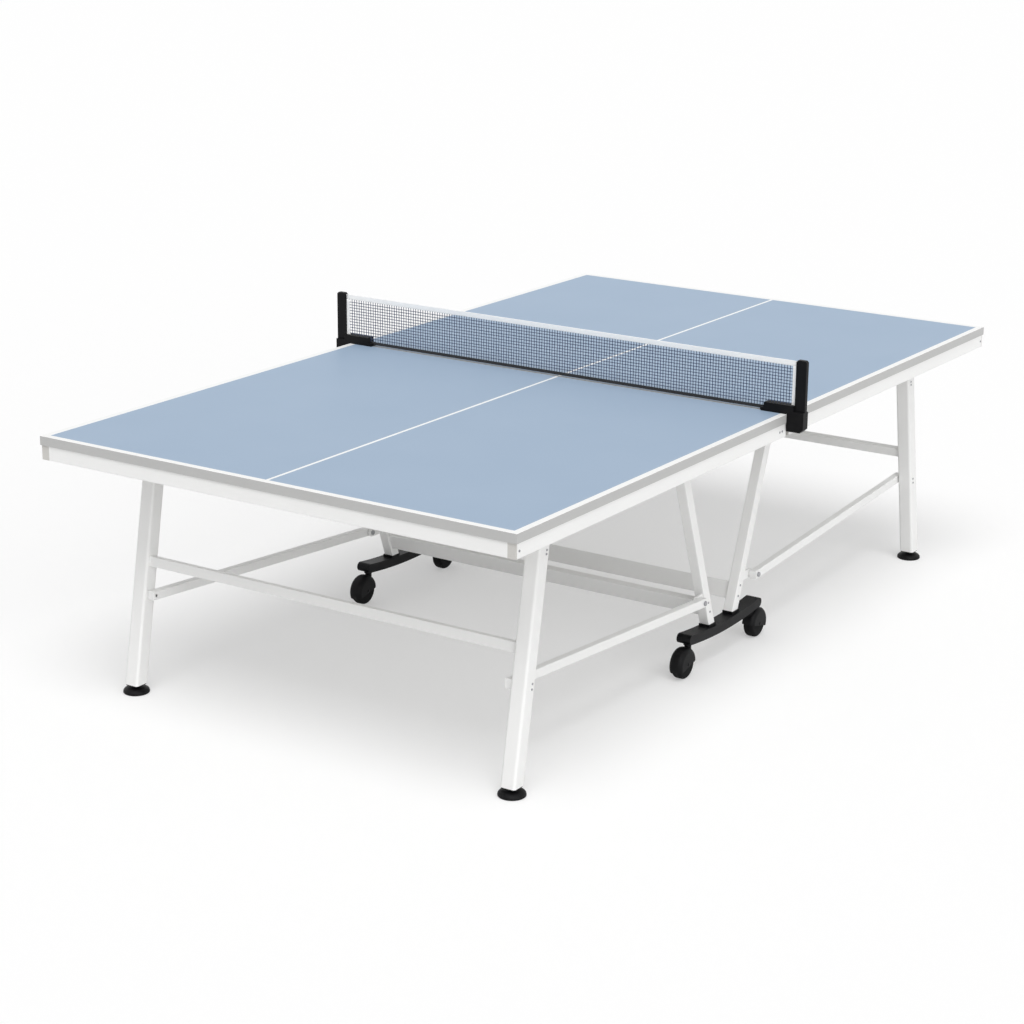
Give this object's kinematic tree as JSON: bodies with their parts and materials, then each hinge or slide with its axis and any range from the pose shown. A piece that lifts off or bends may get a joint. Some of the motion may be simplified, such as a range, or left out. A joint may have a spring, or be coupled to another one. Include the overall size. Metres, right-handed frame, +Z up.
{
  "type": "ping pong table",
  "caption": "Folding table tennis table: blue top in hinged halves on a wheeled centre carriage, splayed outer legs with levelling feet, side links, and a lift-off clamped net.",
  "frame": {"origin": "middle of the table, on the floor plane", "axes": "+X along the table's length, from one player's end to the other; +Y across it, along the net; +Z up"},
  "size_m": [2.74, 1.629, 0.9165],
  "materials": {
    "blue_board": "smooth matt lacquer",
    "edge_strip": "matt moulded strip",
    "white_steel": "smooth satin powder coat",
    "cap_plastic": "fine matt moulded",
    "black_steel": "satin powder coat",
    "black_plastic": "fine matt moulded",
    "black_rubber": "matt",
    "zinc_steel": "zinc plated, slightly dull",
    "net_cord": "dark knotted cord mesh",
    "white_tape": "white woven tape",
    "black_tape": "dark woven band"
  },
  "bodies": {
    "carriage": {"front_beam": "black_steel", "back_beam": "black_steel", "front_inner_legs": "white_steel", "back_inner_legs": "white_steel", "crossbars": "white_steel", "fold_pivots": "black_steel", "beam_sockets": "black_plastic", "carriage_bolts": "zinc_steel", "caster_sockets": "black_plastic"},
    "left_top": {"left_board": "blue_board", "left_edge_trim": "edge_strip", "left_side_aprons": "white_steel", "left_end_apron": "white_steel", "left_apron_caps": "cap_plastic", "left_joist": "white_steel", "left_fold_lugs": "black_steel", "left_leg_brackets": "black_steel", "left_leg_bolts": "zinc_steel", "left_top_screws": "zinc_steel"},
    "left_leg_frame": {"left_front_leg": "white_steel", "left_back_leg": "white_steel", "left_end_stretcher": "white_steel", "left_leg_plugs": "black_plastic", "left_leg_screws": "zinc_steel"},
    "left_links": {"left_side_links": "white_steel"},
    "left_front_foot": {"left_front_foot": "black_plastic"},
    "left_back_foot": {"left_back_foot": "black_plastic"},
    "right_top": {"right_board": "blue_board", "right_edge_trim": "edge_strip", "right_side_aprons": "white_steel", "right_end_apron": "white_steel", "right_apron_caps": "cap_plastic", "right_joist": "white_steel", "right_fold_lugs": "black_steel", "right_leg_brackets": "black_steel", "right_leg_bolts": "zinc_steel", "right_top_screws": "zinc_steel"},
    "right_leg_frame": {"right_front_leg": "white_steel", "right_back_leg": "white_steel", "right_end_stretcher": "white_steel", "right_leg_plugs": "black_plastic", "right_leg_screws": "zinc_steel"},
    "right_links": {"right_side_links": "white_steel"},
    "right_front_foot": {"right_front_foot": "black_plastic"},
    "right_back_foot": {"right_back_foot": "black_plastic"},
    "front_left_caster": {"front_left_hood": "black_plastic"},
    "front_left_wheel": {"front_left_wheel": "black_rubber"},
    "front_right_caster": {"front_right_hood": "black_plastic"},
    "front_right_wheel": {"front_right_wheel": "black_rubber"},
    "back_left_caster": {"back_left_hood": "black_plastic"},
    "back_left_wheel": {"back_left_wheel": "black_rubber"},
    "back_right_caster": {"back_right_hood": "black_plastic"},
    "back_right_wheel": {"back_right_wheel": "black_rubber"},
    "net_set": {"net_posts": "black_plastic", "net_clamps": "black_plastic", "clamp_pads": "black_rubber", "net_mesh": "net_cord", "net_top_tape": "white_tape", "net_end_tapes": "white_tape", "net_bottom_band": "black_tape"}
  },
  "joints": [
    {"name": "left_fold", "type": "hinge", "parent": "carriage", "child": "left_top", "pos_m": [-0.175, 0, 0.732], "axis": [0, 1, 0], "range_deg": [0, 90]},
    {"name": "left_leg_fold", "type": "hinge", "parent": "left_top", "child": "left_leg_frame", "pos_m": [-1.06, 0, 0.705], "axis": [0, 1, 0], "range_deg": [-93.6, 0]},
    {"name": "left_link_swing", "type": "hinge", "parent": "carriage", "child": "left_links", "pos_m": [-0.16, 0, 0.215], "axis": [0, 1, 0], "range_deg": [0, 81]},
    {"name": "left_front_foot_turn", "type": "hinge", "parent": "left_leg_frame", "child": "left_front_foot", "pos_m": [-1.18039, -0.629, 0.01], "axis": [0, 0, 1], "continuous": true},
    {"name": "left_back_foot_turn", "type": "hinge", "parent": "left_leg_frame", "child": "left_back_foot", "pos_m": [-1.18039, 0.629, 0.01], "axis": [0, 0, 1], "continuous": true},
    {"name": "right_fold", "type": "hinge", "parent": "carriage", "child": "right_top", "pos_m": [0.175, 0, 0.732], "axis": [0, -1, 0], "range_deg": [0, 90]},
    {"name": "right_leg_fold", "type": "hinge", "parent": "right_top", "child": "right_leg_frame", "pos_m": [1.06, 0, 0.705], "axis": [0, -1, 0], "range_deg": [-93.6, 0]},
    {"name": "right_link_swing", "type": "hinge", "parent": "carriage", "child": "right_links", "pos_m": [0.16, 0, 0.215], "axis": [0, -1, 0], "range_deg": [0, 81]},
    {"name": "right_front_foot_turn", "type": "hinge", "parent": "right_leg_frame", "child": "right_front_foot", "pos_m": [1.18039, -0.629, 0.01], "axis": [0, 0, 1], "continuous": true},
    {"name": "right_back_foot_turn", "type": "hinge", "parent": "right_leg_frame", "child": "right_back_foot", "pos_m": [1.18039, 0.629, 0.01], "axis": [0, 0, 1], "continuous": true},
    {"name": "front_left_swivel", "type": "hinge", "parent": "carriage", "child": "front_left_caster", "pos_m": [-0.187, -0.568, 0.09], "axis": [0, 0, 1], "continuous": true},
    {"name": "front_left_roll", "type": "hinge", "parent": "front_left_caster", "child": "front_left_wheel", "pos_m": [-0.215, -0.568, 0.043], "axis": [0, 1, 0], "continuous": true},
    {"name": "front_right_swivel", "type": "hinge", "parent": "carriage", "child": "front_right_caster", "pos_m": [0.187, -0.568, 0.09], "axis": [0, 0, 1], "continuous": true},
    {"name": "front_right_roll", "type": "hinge", "parent": "front_right_caster", "child": "front_right_wheel", "pos_m": [0.215, -0.568, 0.043], "axis": [0, 1, 0], "continuous": true},
    {"name": "back_left_swivel", "type": "hinge", "parent": "carriage", "child": "back_left_caster", "pos_m": [-0.187, 0.568, 0.09], "axis": [0, 0, 1], "continuous": true},
    {"name": "back_left_roll", "type": "hinge", "parent": "back_left_caster", "child": "back_left_wheel", "pos_m": [-0.215, 0.568, 0.043], "axis": [0, 1, 0], "continuous": true},
    {"name": "back_right_swivel", "type": "hinge", "parent": "carriage", "child": "back_right_caster", "pos_m": [0.187, 0.568, 0.09], "axis": [0, 0, 1], "continuous": true},
    {"name": "back_right_roll", "type": "hinge", "parent": "back_right_caster", "child": "back_right_wheel", "pos_m": [0.215, 0.568, 0.043], "axis": [0, 1, 0], "continuous": true},
    {"name": "net_lift", "type": "slide", "parent": "carriage", "child": "net_set", "axis": [0, 0, 1], "range_m": [0, 0.18]}
  ],
  "couplings": [
    {"joint": "left_leg_fold", "follows": "left_fold", "ratio": -1.0385},
    {"joint": "left_link_swing", "follows": "left_fold", "ratio": 0.89794},
    {"joint": "right_leg_fold", "follows": "right_fold", "ratio": -1.0385},
    {"joint": "right_link_swing", "follows": "right_fold", "ratio": 0.89794}
  ]
}
